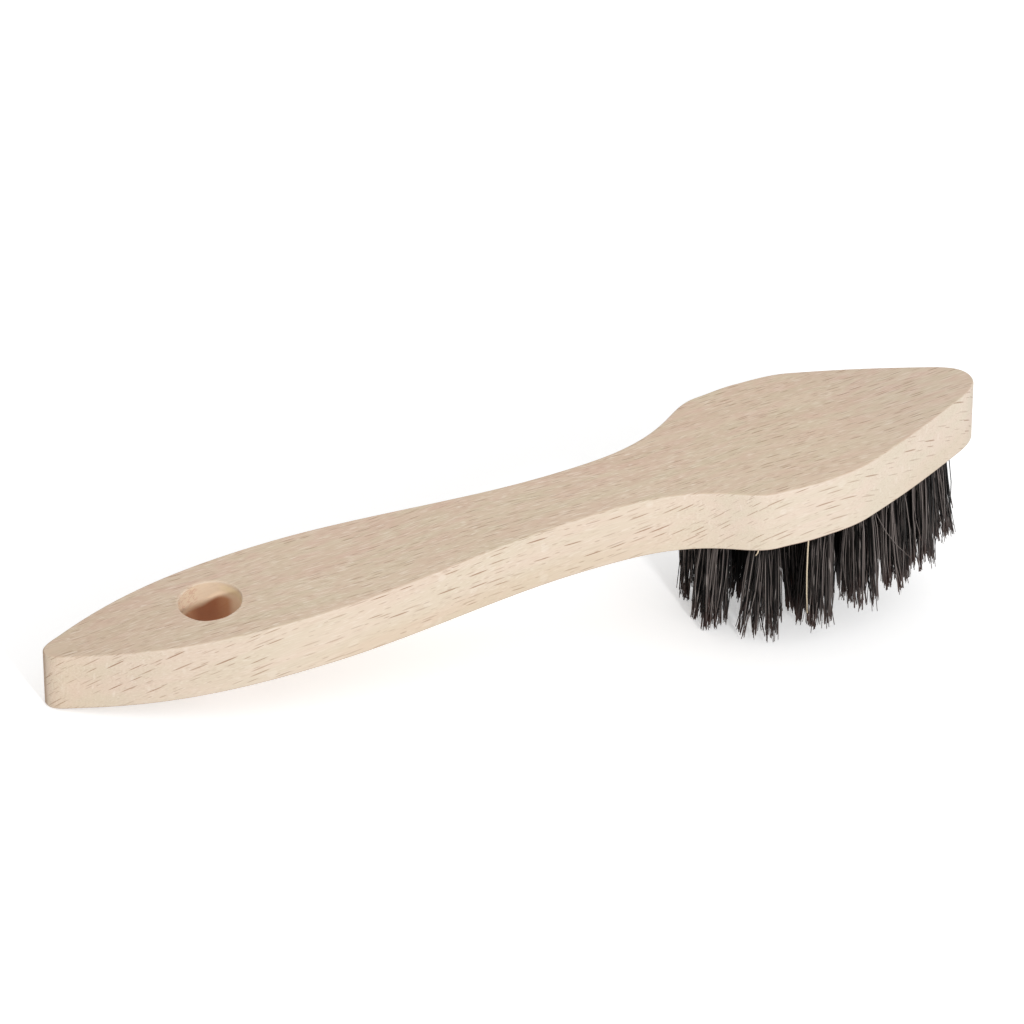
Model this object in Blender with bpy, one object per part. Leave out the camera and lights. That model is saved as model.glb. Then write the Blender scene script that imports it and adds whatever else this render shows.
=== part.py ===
"""Leather cleaning brush: a flat beech block, drilled and filled with anchored bristle tufts.

Metres, +Z up. The brush is drawn lying level, with the handle's end at x = 0, the head
towards +X and the block's top face at z = 0. An empty then tips it into its resting pose,
on the handle's end and the rear bristle tips, with the origin under its middle.
"""

import math
import random

import bmesh
import bpy
from mathutils import Matrix, Vector
from mathutils.geometry import delaunay_2d_cdt, interpolate_bezier

# Board that the block is sawn from, planed thinner along the handle
HANDLE_THICKNESS = 0.0119
HEAD_STEP = 0.0010
EDGE_RADIUS = 0.0005
EDGE_SEGMENTS = 2

# Half outline, station by station: length from the station before, width and heading there
NOSE_LENGTH = 0.0049
NOSE_WIDTH = 0.0077
NOSE_HEADING = math.radians(24)
GRIP_LENGTH = 0.0446
GRIP_WIDTH = 0.0244
WAIST_LENGTH = 0.0575
NECK_WIDTH = 0.0151
FLARE_LENGTH = 0.0252
FLARE_WIDTH = 0.0250
FLARE_HEADING = math.radians(30)
SHOULDER_LENGTH = 0.0096
SHOULDER_WIDTH = 0.0340
SHOULDER_HEADING = math.radians(3)
FLANK_LENGTH = 0.0085
HEAD_WIDTH = 0.0350
FLANK_HEADING = math.radians(-3)
CORNER_LENGTH = 0.0108
CORNER_WIDTH = 0.0323
TAPER_HEADING = math.radians(-19)
TAPER_LENGTH = 0.0231
TIP_WIDTH = 0.0134
TIP_HEADING = math.radians(-25)
TIP_LENGTH = 0.0073
SQUARE_ON = math.radians(90)
PULL_SHARE = 0.36

# Hanging hole
HOLE_DIAMETER = 0.0116
HOLE_FROM_END = 0.0335
HOLE_RIM_RADIUS = 0.0006
HOLE_SIDES = 32
HOLE_RIM_SEGMENTS = 3

# Drilled sockets
SOCKET_DIAMETER = 0.0056
SOCKET_DEPTH = 0.0085
SOCKET_SIDES = 16
DRILL_POINT = math.radians(31)
CUT_OVERRUN = 0.002

# Tuft pattern: a ring that follows the outline, a heel pair behind it and tufts inside it
EDGE_INSET = 0.0049
TIP_INSET = 0.0079
TIP_PITCH = 0.0070
SHOULDER_PITCH = 0.0112
RING_FROM_SHOULDER = 0.0004
HEEL_STEP = 0.0062
HEEL_SPACING = 0.0086
INNER_PLACE_SHARES = (
    (0.205, 0.0),
    (0.325, 0.44),
    (0.505, 0.38),
    (0.655, 0.0),
    (0.795, 0.0),
)

# Tufts: a packed root, folded over its anchor, and strands that fan out from it
SEAT_GAP = 0.0003
ROOT_SIDES = 12
ROOT_SHOWING = 0.0004
FOLD_HEIGHT = 0.0016
BRISTLE_LENGTH = 0.0232
BRISTLE_UNEVENNESS = 0.0006
STRANDS = 24
STRAND_ROOT_WIDTH = 0.00050
STRAND_TIP_WIDTH = 0.00040
ROOT_MARGIN = 0.00004
FAN_GAP = 0.0005
LEAN_SHARE = 0.045
FLOOR_CUT = 0.0005

# Anchors: cut lengths of flat wire, driven across the socket's floor
ANCHOR_THICKNESS = 0.0004
ANCHOR_HEIGHT = 0.0017
ANCHOR_BITE = 0.0004
ANCHOR_FROM_FOLD = 0.0012
ANCHOR_SHEAR = 0.0002

GOLDEN_ANGLE = math.pi * (3 - math.sqrt(5))
SAME_PLACE = 0.000001


def clear_scene():
    for obj in list(bpy.data.objects):
        bpy.data.objects.remove(obj, do_unlink=True)


def material(name, colour, roughness, metallic):
    """A plain material in the piece's colour."""
    made = bpy.data.materials.new(name)
    made.use_nodes = True
    shader = made.node_tree.nodes["Principled BSDF"]
    shader.inputs["Base Color"].default_value = (*colour, 1)
    shader.inputs["Roughness"].default_value = roughness
    shader.inputs["Metallic"].default_value = metallic
    return made


def mesh_of(name, shape, smooth=False):
    """A closed bmesh as mesh data, its faces turned outwards."""
    bmesh.ops.recalc_face_normals(shape, faces=shape.faces)
    mesh = bpy.data.meshes.new(name)
    shape.to_mesh(mesh)
    shape.free()
    if smooth:
        mesh.shade_smooth()
        mesh.set_sharp_from_angle(angle=math.radians(35))
    return mesh


def place(name, mesh, parent, location=(0, 0, 0), collection=None):
    obj = bpy.data.objects.new(name, mesh)
    obj.location = location
    obj.parent = parent
    (collection or bpy.context.scene.collection).objects.link(obj)
    return obj


def as_cutter(obj):
    obj.hide_render = True
    obj.display_type = "WIRE"
    return obj


def turned(profile, sides):
    """A solid turned about Z from (radius, height) points whose two ends lie on the axis."""
    shape = bmesh.new()
    rings = []
    for radius, height in profile:
        if radius == 0:
            rings.append([shape.verts.new((0, 0, height))])
            continue
        turn = 2 * math.pi / sides
        rings.append(
            [
                shape.verts.new((radius * math.cos(i * turn), radius * math.sin(i * turn), height))
                for i in range(sides)
            ]
        )
    for low, high in zip(rings, rings[1:]):
        for i in range(sides):
            after = (i + 1) % sides
            corners = [low[i % len(low)], low[after % len(low)]]
            corners += [high[after % len(high)], high[i % len(high)]]
            shape.faces.new(list(dict.fromkeys(corners)))
    return shape


def half_outline():
    """Points along one side of the block, from the handle's end to the tip."""
    stations = (
        (NOSE_LENGTH, NOSE_WIDTH, NOSE_HEADING, 5),
        (GRIP_LENGTH, GRIP_WIDTH, 0, 7),
        (WAIST_LENGTH, NECK_WIDTH, 0, 8),
        (FLARE_LENGTH, FLARE_WIDTH, FLARE_HEADING, 6),
        (SHOULDER_LENGTH, SHOULDER_WIDTH, SHOULDER_HEADING, 6),
        (FLANK_LENGTH, HEAD_WIDTH, FLANK_HEADING, 3),
        (CORNER_LENGTH, CORNER_WIDTH, TAPER_HEADING, 5),
        (TAPER_LENGTH, TIP_WIDTH, TIP_HEADING, 3),
        (TIP_LENGTH, 0, -SQUARE_ON, 6),
    )
    start = Vector((0, 0))
    heading = SQUARE_ON
    points = [start.copy()]
    for length, width, next_heading, steps in stations:
        end = Vector((start.x + length, width / 2))
        pull = PULL_SHARE * (end - start).length
        leave = start + pull * Vector((math.cos(heading), math.sin(heading)))
        arrive = end - pull * Vector((math.cos(next_heading), math.sin(next_heading)))
        points += [p.to_2d() for p in interpolate_bezier(start, leave, arrive, end, steps + 1)[1:]]
        start = end
        heading = next_heading
    return points


def block_mesh(side):
    """The whole outline as a board with eased edges. A slope leads to the thicker head."""
    slope_start = NOSE_LENGTH + GRIP_LENGTH
    slope_end = slope_start + WAIST_LENGTH + FLARE_LENGTH
    far = [p for p in reversed(side[1:-1])]
    around = [(p.x, -p.y) for p in side] + [(p.x, p.y) for p in far]
    shape = bmesh.new()
    upper = [shape.verts.new((x, y, 0)) for x, y in around]
    lower = []
    for x, y in around:
        share = min(max((x - slope_start) / (slope_end - slope_start), 0), 1)
        lower.append(shape.verts.new((x, y, -HANDLE_THICKNESS - share * HEAD_STEP)))
    faces = [shape.faces.new(upper)]
    breaks = (0, slope_start, slope_end, side[-1].x)
    for low, high in zip(breaks, breaks[1:]):
        band = [v for v in lower if low - SAME_PLACE <= v.co.x <= high + SAME_PLACE]
        faces.append(shape.faces.new(band))
    rims = [e for face in faces for e in face.edges if len(e.link_faces) == 1]
    for a, b, c, d in zip(upper, upper[1:] + upper[:1], lower[1:] + lower[:1], lower):
        shape.faces.new([a, b, c, d])
    bmesh.ops.bevel(
        shape, geom=rims, offset=EDGE_RADIUS, segments=EDGE_SEGMENTS, profile=0.5, affect="EDGES"
    )
    return mesh_of("brush_block", shape, smooth=True)


def hole_drill():
    """The hanging hole's cutter, flared at both faces for the eased rims."""
    radius = HOLE_DIAMETER / 2
    quarter = [i * SQUARE_ON / HOLE_RIM_SEGMENTS for i in range(HOLE_RIM_SEGMENTS + 1)]
    rim = [
        (radius + HOLE_RIM_RADIUS * (1 - math.sin(a)), -HOLE_RIM_RADIUS * (1 - math.cos(a)))
        for a in quarter
    ]
    upper = [(0, CUT_OVERRUN), (rim[0][0], CUT_OVERRUN)] + rim
    profile = upper + [(r, -HANDLE_THICKNESS - z) for r, z in reversed(upper)]
    return mesh_of("hole_drill", turned(profile[::-1], HOLE_SIDES))


def socket_drill():
    """A blind socket's cutter, with the drill's point."""
    radius = SOCKET_DIAMETER / 2
    point = radius * math.tan(DRILL_POINT)
    bottom = [(0, -CUT_OVERRUN), (radius, -CUT_OVERRUN)]
    profile = bottom + [(radius, SOCKET_DEPTH), (0, SOCKET_DEPTH + point)]
    return mesh_of("socket_drill", turned(profile, SOCKET_SIDES))


def inset_line(side):
    """The half outline moved inwards by the tufts' distance from the edge, tip first."""
    moved = []
    for before, here, after in zip(side, side[1:], side[2:]):
        along = (after - before).normalized()
        moved.append(here + EDGE_INSET * Vector((along.y, -along.x)))
    tip = Vector((side[-1].x - TIP_INSET, 0))
    return [tip] + [p for p in reversed(moved) if p.x < tip.x and p.y > 0]


def line_until(line, x):
    """The part of a line that lies ahead of a station, ended on it."""
    kept = [p for p in line if p.x > x]
    before, after = kept[-1], line[len(kept)]
    return kept + [before.lerp(after, (before.x - x) / (before.x - after.x))]


def spaced_along(line):
    """Tuft centres from a line's start to its end, their pitch widening evenly on the way."""
    reach = sum((b - a).length for a, b in zip(line, line[1:]))
    steps = round(2 * reach / (TIP_PITCH + SHOULDER_PITCH))
    pitches = [TIP_PITCH + (SHOULDER_PITCH - TIP_PITCH) * i / (steps - 1) for i in range(steps)]
    centres = [line[0]]
    for count in range(1, steps + 1):
        distance = reach * sum(pitches[:count]) / sum(pitches)
        for start, end in zip(line, line[1:]):
            step = (end - start).length
            if distance <= step or end is line[-1]:
                centres.append(start.lerp(end, distance / step))
                break
            distance -= step
    return centres


def tuft_places(side):
    """Root centres on the underside: the heel pair, the ring from its tip, then the inside."""
    shoulder = NOSE_LENGTH + GRIP_LENGTH + WAIST_LENGTH + FLARE_LENGTH + SHOULDER_LENGTH
    line = line_until(inset_line(side), shoulder - RING_FROM_SHOULDER)
    ring = spaced_along(line)
    heel = Vector((ring[-1].x - HEEL_STEP, HEEL_SPACING / 2))
    field = ring[0].x - heel.x
    widest = max(p.y for p in ring)
    inner = [Vector((heel.x + u * field, v * widest)) for u, v in INNER_PLACE_SHARES]
    places = []
    for p in [heel] + ring + inner:
        places.append(p)
        if p.y > 0:
            places.append(Vector((p.x, -p.y)))
    return places


def fans(places):
    """How far each tuft's tip centre leans out, and how wide it fans before its neighbour."""
    middle = sum(places, Vector((0, 0))) / len(places)
    leans = [LEAN_SHARE * (p - middle) for p in places]
    tips = [p + lean for p, lean in zip(places, leans)]
    spreads = []
    for i, tip in enumerate(tips):
        nearest = min((tip - other).length for j, other in enumerate(tips) if j != i)
        spreads.append((nearest - FAN_GAP) / 2)
    return list(zip(leans, spreads))


def triangle(centre, width, facing):
    """Three corners of a strand's section, one of them facing outwards."""
    radius = width / 2
    third = 2 * math.pi / 3
    return [
        centre + radius * Vector((math.cos(facing + i * third), math.sin(facing + i * third), 0))
        for i in range(3)
    ]


def strands_of(lean, spread, seed):
    """Each strand's root and tip corners. Roots and tips follow one spiral, so none cross."""
    chance = random.Random(seed)
    across_flats = (SOCKET_DIAMETER / 2 - SEAT_GAP) * math.cos(math.pi / ROOT_SIDES)
    root_reach = across_flats - STRAND_ROOT_WIDTH / 2 - ROOT_MARGIN
    tip_reach = spread - STRAND_TIP_WIDTH / 2
    strands = []
    for i in range(STRANDS):
        out = math.sqrt((i + 0.5) / STRANDS)
        angle = i * GOLDEN_ANGLE
        away = Vector((math.cos(angle), math.sin(angle), 0))
        length = BRISTLE_LENGTH - BRISTLE_UNEVENNESS * chance.random()
        root = root_reach * out * away - Vector((0, 0, ROOT_SHOWING))
        tip = tip_reach * out * away + Vector((lean.x, lean.y, -length))
        strands.append(
            (triangle(root, STRAND_ROOT_WIDTH, angle), triangle(tip, STRAND_TIP_WIDTH, angle))
        )
    return strands


def rest_tilt(tufts):
    """The angle at which the handle's end and the rear tips share one plane."""
    steepest = 0
    for where, strands in tufts:
        for _, tip in strands:
            for corner in tip:
                run = where.x + corner.x - EDGE_RADIUS
                drop = HEAD_STEP - corner.z
                angle = math.atan2(drop, run) - FLOOR_CUT / math.hypot(run, drop)
                steepest = max(steepest, angle)
    return steepest


def cut_at_floor(where, strands, tilt):
    """Strands that would reach through the floor, ended flat on it."""
    cut = []
    for root, tip in strands:
        shares = []
        for ends in zip(tip, root):
            clear = [
                math.tan(tilt) * (where.x + p.x - EDGE_RADIUS) - HEAD_STEP + p.z for p in ends
            ]
            shares.append(clear[1] / (clear[1] - clear[0]))
        if min(shares) < 1:
            tip = [high.lerp(low, share) for high, low, share in zip(root, tip, shares)]
        cut.append((root, tip))
    return cut


def fill_between(shape, rim, holes):
    """Triangles that join an outer loop of corners to the three-cornered holes inside it."""
    loops = [rim] + holes
    corners = [v for loop in loops for v in loop]
    edges = []
    for loop in loops:
        start = corners.index(loop[0])
        edges += [(start + i, start + (i + 1) % len(loop)) for i in range(len(loop))]
    flat = [v.co.to_2d() for v in corners]
    _, _, faces, sources, _, _ = delaunay_2d_cdt(flat, edges, [], 1, SAME_PLACE)
    for face in faces:
        ends = [corners[sources[i][0]] for i in face]
        if set(ends) not in [set(hole) for hole in holes]:
            shape.faces.new(ends)


def tuft_mesh(name, strands):
    """Packed root with its fold, and the strands fused to its lower face, as one body."""
    radius = SOCKET_DIAMETER / 2 - SEAT_GAP
    top = SOCKET_DEPTH - SEAT_GAP
    fold = radius * math.cos(math.radians(45))
    profile = [
        (radius, -ROOT_SHOWING),
        (radius, top - FOLD_HEIGHT),
        (fold, top - (1 - math.sin(math.radians(45))) * FOLD_HEIGHT),
        (0, top),
    ]
    shape = turned(profile, ROOT_SIDES)
    rim = list(shape.verts)[:ROOT_SIDES]
    holes = []
    for root, tip in strands:
        upper = [shape.verts.new(p) for p in root]
        lower = [shape.verts.new(p) for p in tip]
        shape.faces.new(lower)
        for i in range(3):
            after = (i + 1) % 3
            shape.faces.new([upper[i], upper[after], lower[after], lower[i]])
        holes.append(upper)
    fill_between(shape, rim, holes)
    return mesh_of(name, shape)


def anchor_shape(grown):
    """The wire's slip of metal, its ends sheared aslant, or the room for it when grown."""
    half = Vector((ANCHOR_THICKNESS / 2, SOCKET_DIAMETER / 2 + ANCHOR_BITE, ANCHOR_HEIGHT / 2))
    half += Vector((grown, grown, grown))
    shape = bmesh.new()
    bmesh.ops.create_cube(shape, size=2, matrix=Matrix.Diagonal((*half, 1)))
    for v in shape.verts:
        v.co.y -= math.copysign(ANCHOR_SHEAR, v.co.y) if v.co.z < 0 else 0
    return shape


def anchor_height():
    """Middle of the anchor above the socket's mouth."""
    return SOCKET_DEPTH - SEAT_GAP - ANCHOR_FROM_FOLD - SEAT_GAP - ANCHOR_HEIGHT / 2


def difference(obj, name, cutter=None, collection=None):
    modifier = obj.modifiers.new(name, "BOOLEAN")
    modifier.operation = "DIFFERENCE"
    modifier.solver = "EXACT"
    if collection:
        modifier.operand_type = "COLLECTION"
        modifier.collection = collection
    else:
        modifier.object = cutter


def stand_at_rest(stand, meshes, tilt):
    """Tips the brush by the angle, then puts its box's bottom centre at the origin."""
    turn = Matrix.Rotation(-tilt, 4, "Y")
    corners = [turn @ (where + v.co) for where, mesh in meshes for v in mesh.vertices]
    low = Vector([min(c[i] for c in corners) for i in range(3)])
    high = Vector([max(c[i] for c in corners) for i in range(3)])
    stand.rotation_euler = (0, -tilt, 0)
    stand.location = (-(low.x + high.x) / 2, -(low.y + high.y) / 2, -low.z)


def build():
    clear_scene()
    beech = material("beech", (0.66, 0.53, 0.41), 0.6, 0)
    hair = material("black_bristle", (0.015, 0.011, 0.010), 0.45, 0)
    steel = material("anchor_steel", (0.55, 0.55, 0.56), 0.35, 1)

    stand = bpy.data.objects.new("stand", None)
    bpy.context.scene.collection.objects.link(stand)
    drills = bpy.data.collections.new("socket_drills")
    rooms = bpy.data.collections.new("anchor_rooms")
    for cutters in (drills, rooms):
        bpy.context.scene.collection.children.link(cutters)

    side = half_outline()
    block = place("brush_block", block_mesh(side), stand)
    block.data.materials.append(beech)
    hole = as_cutter(place("hole_drill", hole_drill(), stand, (HOLE_FROM_END, 0, 0)))
    difference(block, "hanging_hole", cutter=hole)
    difference(block, "sockets", collection=drills)
    difference(block, "anchor_bites", collection=rooms)

    places = tuft_places(side)
    drill = socket_drill()
    room = mesh_of("anchor_room", anchor_shape(SEAT_GAP))
    anchor = mesh_of("anchor", anchor_shape(0))
    anchor.materials.append(steel)
    planned = [
        (where, strands_of(lean, spread, seed))
        for seed, (where, (lean, spread)) in enumerate(zip(places, fans(places)))
    ]
    tilt = rest_tilt(planned)
    stood = [(Vector((0, 0, 0)), block.data)]
    for number, (where, strands) in enumerate(planned, 1):
        mouth = Vector((where.x, where.y, -HANDLE_THICKNESS - HEAD_STEP))
        seat = mouth + Vector((0, 0, anchor_height()))
        as_cutter(place(f"socket_drill_{number:02d}", drill, stand, mouth, drills))
        space = as_cutter(place(f"anchor_room_{number:02d}", room, stand, seat, rooms))
        mesh = tuft_mesh(f"bristle_tuft_{number:02d}", cut_at_floor(where, strands, tilt))
        mesh.materials.append(hair)
        tuft = place(mesh.name, mesh, stand, mouth)
        difference(tuft, "anchor_window", cutter=space)
        place(f"anchor_{number:02d}", anchor, stand, seat)
        stood.append((mouth, mesh))
    stand_at_rest(stand, stood, tilt)


build()
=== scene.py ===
"""Looks of a leather cleaning brush: a sanded beech block and tufts of stiff black hair.

Metres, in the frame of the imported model. The block and the hair are drawn in the brush's own
level frame (handle's end at x = 0, head towards +X, top face at z = 0) and then laid into the
resting pose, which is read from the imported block.
"""

import math
from types import SimpleNamespace

import bmesh
import bpy
import numpy as np
from mathutils import Matrix, Vector


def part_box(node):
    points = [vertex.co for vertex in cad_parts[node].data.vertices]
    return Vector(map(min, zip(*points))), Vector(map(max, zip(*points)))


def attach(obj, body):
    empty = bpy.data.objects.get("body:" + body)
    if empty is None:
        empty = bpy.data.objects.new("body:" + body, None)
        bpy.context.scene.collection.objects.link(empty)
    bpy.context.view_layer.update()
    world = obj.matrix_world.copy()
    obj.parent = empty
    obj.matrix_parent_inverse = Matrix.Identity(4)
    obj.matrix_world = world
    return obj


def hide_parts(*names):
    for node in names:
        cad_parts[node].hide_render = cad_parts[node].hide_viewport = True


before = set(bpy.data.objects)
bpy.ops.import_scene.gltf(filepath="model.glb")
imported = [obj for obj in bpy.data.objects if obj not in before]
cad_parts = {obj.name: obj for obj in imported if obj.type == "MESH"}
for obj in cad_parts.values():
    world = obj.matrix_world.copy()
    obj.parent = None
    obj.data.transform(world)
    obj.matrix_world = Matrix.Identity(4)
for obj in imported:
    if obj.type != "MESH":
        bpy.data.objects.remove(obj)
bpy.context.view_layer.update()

MM = 0.001
WELD_DISTANCE = 0.001 * MM

# Outline: length from the station before, full width and heading in degrees at each station
STATIONS = (
    (4.9 * MM, 7.7 * MM, 24),
    (44.6 * MM, 24.4 * MM, 0),
    (57.5 * MM, 15.1 * MM, 0),
    (25.2 * MM, 25.0 * MM, 30),
    (9.6 * MM, 34.0 * MM, 3),
    (8.5 * MM, 35.0 * MM, -3),
    (10.8 * MM, 32.3 * MM, -19),
    (23.1 * MM, 13.4 * MM, -25),
    (7.3 * MM, 0, -90),
)
PULL_SHARE = 0.36
STATION_STEPS = 40

# Board: even along the handle, then a slope on the underside down to the thicker head
HANDLE_THICKNESS = 11.9 * MM
HEAD_STEP = 1.0 * MM
SLOPE_START = 49.5 * MM
SLOPE_END = 132.2 * MM
MOUTH_DEPTH = HANDLE_THICKNESS + HEAD_STEP
EDGE_RADIUS = 0.38 * MM
EDGE_STEPS = 7
EDGE_UNEVENNESS_SHARE = 0.3
EDGE_WAVES = (9 * MM, 5.3 * MM, 23 * MM)
SIDE_STEPS = 4
TOP_STEPS = 6
EDGE_BORDER = 0.6 * MM

# Hanging hole and tuft sockets
HOLE_RADIUS = 5.85 * MM
HOLE_FROM_END = 33.5 * MM
HOLE_NEAR_RIM = 0.1 * MM
HOLE_FAR_RIM = 0.4 * MM
HOLE_OVAL = 0.3 * MM
HOLE_OVAL_TURN = math.radians(43)
HOLE_SHIFT = (-0.1 * MM, 0.6 * MM)
HOLE_CENTRE = (HOLE_FROM_END + HOLE_SHIFT[0], HOLE_SHIFT[1], 0)
HOLE_UNEVENNESS = 0.06 * MM
HOLE_SIDES = 120
HOLE_RIM_STEPS = 8
SOCKET_RADIUS = 2.8 * MM
SOCKET_DEPTH = 8.5 * MM
SOCKET_SIDES = 48
SEATED_DEPTH = 2.0 * MM
DRILL_POINT = math.radians(31)
CUT_OVERRUN = 2.0 * MM
SHARP_ANGLE = math.radians(40)

# Hair: each one is folded double over its anchor, so that it has two tips. Its reach runs from
# 0 at the fold to 1 at either tip
HAIRS = 108
HAIR_SIDES = 3
HAIR_WIDTH = 0.225 * MM
HAIR_WIDTH_SPREAD = 0.045 * MM
HAIR_LENGTH = 22.5 * MM
TRIM_UNEVENNESS = 0.65 * MM
SHORT_SHARE = 0.33
SHORTEST = 6.5 * MM
SHORT_POWER = 1.7
PACK_RADIUS = 2.45 * MM
FOLD_CLEARANCE = 0.38 * MM
FOLD_HEIGHT = 8.15 * MM
FOLD_RISE = 1.35 * MM
FOLD_DEGREES = (90, 45)
FREE_STEPS = 4
EARLY_SHARE = 0.6
SCATTER = 0.6 * MM
WILD_SHARE = 0.08
WILD_FACTOR = 2.6
SCATTER_LIMIT = 2.2 * MM
BOW = 0.42 * MM
CLUMPS = 13
CLUMP_PULL = 0.52
TIP_WIDTH_SHARE = 0.7
TAPER_START = 0.625
FLOOR_CLEARANCE = 0.1 * MM
FLOOR_CLEARANCE_SPREAD = 4
# Share of legs whose painted glint shows
GLINT_SHARE = 0.5
FAIR_LIMIT = 1.5
FAIR_TONE = 2.0

# Tuft by tuft: where the tips' middle lies from the root's and how far they fan, in mm; tone,
# which is partly the hair's own and partly painted shade: it is lower on the tufts that stand behind
# others
TUFT_SHAPES = (
    (-0.2, 0.0, 3.1, 1),
    (-1.3, -0.2, 3.5, 0.92),
    (2.5, 0.0, 2.9, 1.12),
    (0.0, 1.5, 3.0, 1),
    (0.7, -1.5, 3.2, 1.3),
    (-0.3, 2.0, 3.3, 1),
    (0.4, -2.0, 3.5, 1.15),
    (-0.4, 1.0, 3.6, 1),
    (0.0, -1.0, 3.7, 1.48),
    (0.2, 0.4, 3.7, 1),
    (-0.7, -0.4, 3.8, 1.07),
    (2.4, -2.6, 3.6, 1),
    (0.5, 1.2, 5.1, 1.05),
    (-1.2, 0.4, 3.7, 0.65),
    (1.4, -1.6, 3.6, 0.65),
    (0.0, -2.8, 2.4, 0.82),
    (0.0, 0.0, 3.7, 0.55),
    (0.0, 0.0, 3.7, 0.55),
    (0.0, 0.0, 3.4, 0.55),
    (0.0, 0.0, 3.3, 0.55),
)

# Hairs that stand out, by tuft: root and tip from the tuft's middle, length and width in mm, tone
STRAY_HAIRS = {
    9: ((2.0, -1.2), (10.5, -1.8), 16.0, 0.2, 0.95),
    11: ((-2.5, -0.9), (-3.4, -2.5), 19.0, 0.34, FAIR_TONE),
    13: ((-2.3, -1.0), (-2.7, -1.4), 3.0, 0.34, FAIR_TONE),
}

# Camera: the brush's level frame turned about its own Z, tipped, rolled and moved before the lens
VIEW_TURN = math.radians(26.5123)
VIEW_TILT = math.radians(-53.148)
VIEW_ROLL = math.radians(0.0395)
VIEW_OFFSET = Vector((-84.575 * MM, -25.46 * MM, -1444.76 * MM))
LENS_LENGTH = 281.25
SENSOR_WIDTH = 36
CLIP_END = 20

# Light: a soft key lamp from the near side, low, and an even white surround
KEY_DIRECTION = Vector((0.0, -0.927, 0.375))
KEY_DISTANCE = 1.3
KEY_SIZE = 0.13
KEY_LEVEL = 0.5
SKY_LEVEL = 0.72
SKY_SEEN_LEVEL = 1.0
FLOOR_HALF = 3.0
FLOOR_TONE = 0.85
FLOOR_ROUGHNESS = 0.9
FLOOR_LIFT = 0.41

# Wood: directions of its patterns, and how far the grain wanders, in mm, with noise of this scale
GRAIN_TILT = math.radians(4)
RAY_LEAN = math.radians(42)
WANDER = (0, 5, 5)
WANDER_SCALE = 0.02
NOISE_MIDDLE = (0.5, 0.5, 0.5)

# Wood's colours on the top face, and the tints by which other faces and places differ from them
BEECH_PALE = (0.716, 0.575, 0.432)
BEECH_PINK = (0.678, 0.497, 0.379)
BEECH_SANDY = (0.664, 0.560, 0.403)
BEECH_BLUSH = (0.697, 0.488, 0.388)
# Partly the sides' own cooler tone, partly painted light where the lit sides wash out paler
HANDLE_SIDE_TONE_AND_LIGHT_TINT = (0.962, 0.998, 1.073)
HEAD_SIDE_TONE_AND_LIGHT_TINT = (0.971, 1.02, 1.118)
# Partly the wood's own tone, partly painted shade where less lamp light falls: the handle's end darker,
# its sides near the very end warmer
HANDLE_END_TONE_AND_SHADE_TINT = (0.93, 0.915, 0.91)
NOSE_TONE_AND_SHADE_TINT = (1.01, 0.995, 0.965)
LOW_TINT = (0.955, 0.92, 0.885)
# Partly the wood's own tone, partly painted shade where less lamp light falls: the tip's top darker
TIP_TONE_AND_SHADE_TINT = (0.965, 0.96, 0.985)

# Colours of the wood's marks and of the hanging hole's wall. The wall's olive and bright band are
# painted light, and its deep brown is partly the drilled wall's own colour and partly painted shade
# Brown of the grain's dashes and streaks, and of the painted shade line down the handle's end
DASH_AND_SHADE_BROWN = (0.29, 0.15, 0.078)
FLECK_PALE = (0.95, 0.86, 0.74)
# Painted shade along the rounded lower edge, where it turns away from the light
SHADE_LINE_BROWN = (0.20, 0.08, 0.055)
WALL_LIGHT = (0.77, 0.62, 0.46)
WALL_PAINTED_LIGHT = (0.93, 0.74, 0.54)
WALL_DEEP_AND_SHADE = (0.46, 0.17, 0.07)
WALL_SHADED = (0.66, 0.34, 0.18)
WALL_PAINTED_BOUNCE_LIGHT = (0.86, 0.71, 0.47)
WALL_TORN = (0.62, 0.38, 0.27)

# Wood's patterns, in mm along the grain, across it and upwards. Streaks have the noise's level at
# which they start and are full, and flecks a cell, a full fleck's half lengths and the share shown
BANDS = dict(Size=(70, 3.2, 5.0), Detail=3)
SANDY_BANDS = dict(Size=(45, 2.4, 3.0), Detail=2)
BLUSH_PATCHES = dict(Size=(6.0, 2.6, 3.2), Detail=1, Start=0.45, Full=0.65)
FINE_STREAKS = dict(Size=(3.2, 0.17, 0.24), Detail=0.4, Start=0.55, Full=0.7)
PORES = dict(Size=(3.0, 0.16, 0.2), Detail=0.4, Start=0.56, Full=0.72)
SPECKLES = dict(Size=(0.5, 0.3, 0.3), Detail=2, Start=0.45, Full=0.65)
TORN_SPOTS = dict(Size=(0.9, 0.9, 0.35), Detail=3, Start=0.5, Full=0.58)
LONG_DASHES = dict(Cell=(5.0, 0.85, 2.6), Size=(2.8, 0.125, 1.9), Share=0.72)
SHORT_DASHES = dict(Cell=(2.6, 0.8, 1.8), Size=(1.0, 0.11, 0.9), Share=0.55)
TOP_DASHES = dict(Cell=(3.3, 0.62, 2.0), Size=(1.9, 0.12, 1.1), Share=0.7)
PALE_DASHES = dict(Cell=(3.2, 0.8, 2.1), Size=(1.6, 0.14, 1.0), Share=0.5)

# What all streaks and all flecks share: the noise's roughness, how far a fleck strays from the
# middle of its cell, its least and greatest size and depth, and the share of it that is full
STREAK_ROUGHNESS = 0.55
FLECK_RANDOMNESS = 0.85
FLECK_SIZES = (0.5, 1.0)
FLECK_DEPTHS = (0.45, 1.0)
FLECK_CORE_SHARE = 0.6

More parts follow.
